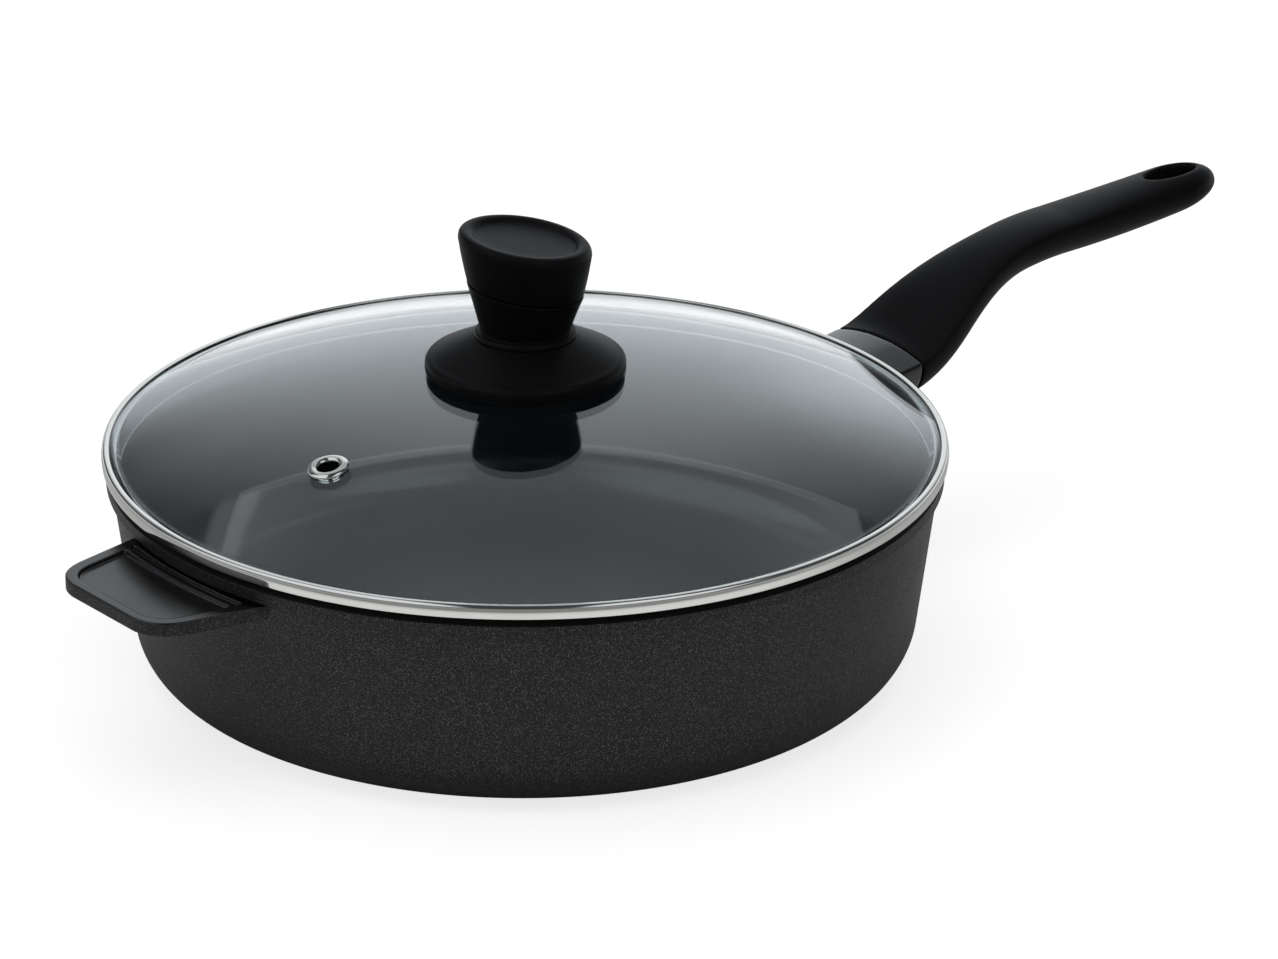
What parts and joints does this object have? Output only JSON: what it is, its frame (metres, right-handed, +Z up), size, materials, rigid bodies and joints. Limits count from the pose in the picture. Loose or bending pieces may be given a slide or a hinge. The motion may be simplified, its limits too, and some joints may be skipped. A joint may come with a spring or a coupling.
{
  "type": "deep frying pan with lid",
  "caption": "Deep round cast pan with a long S-shaped handle and a flat helper tab, covered by a lift-off glass lid with a steel rim, a vent eyelet and a leaning knob.",
  "frame": {"origin": "middle of the pan's flat base, on the surface it stands on", "axes": "+Z up along the pan's axis, +X along the long handle, the helper tab on the -X side"},
  "size_m": [0.5084, 0.29, 0.154],
  "materials": {
    "cast_coating": "cast aluminium with a black speckled non-stick coat",
    "soft_touch": "black soft-touch moulding",
    "lid_glass": "clear toughened glass",
    "rim_steel": "polished stainless steel",
    "screw_steel": "plain stainless steel",
    "brass": "turned brass",
    "silicone": "matt silicone"
  },
  "bodies": {
    "pan": {"pan_body": "cast_coating", "long_handle": "soft_touch", "handle_screw": "screw_steel"},
    "lid": {"lid_glass": "lid_glass", "lid_rim": "rim_steel", "vent_eyelet": "rim_steel", "knob_flange": "soft_touch", "knob_stem": "soft_touch", "knob_cap": "soft_touch", "knob_insert": "brass", "knob_gasket": "silicone", "knob_washer": "screw_steel", "knob_screw": "screw_steel"}
  },
  "joints": [
    {"name": "lid_lift", "type": "slide", "parent": "pan", "child": "lid", "axis": [0, 0, 1], "range_m": [0, 0.15]}
  ]
}
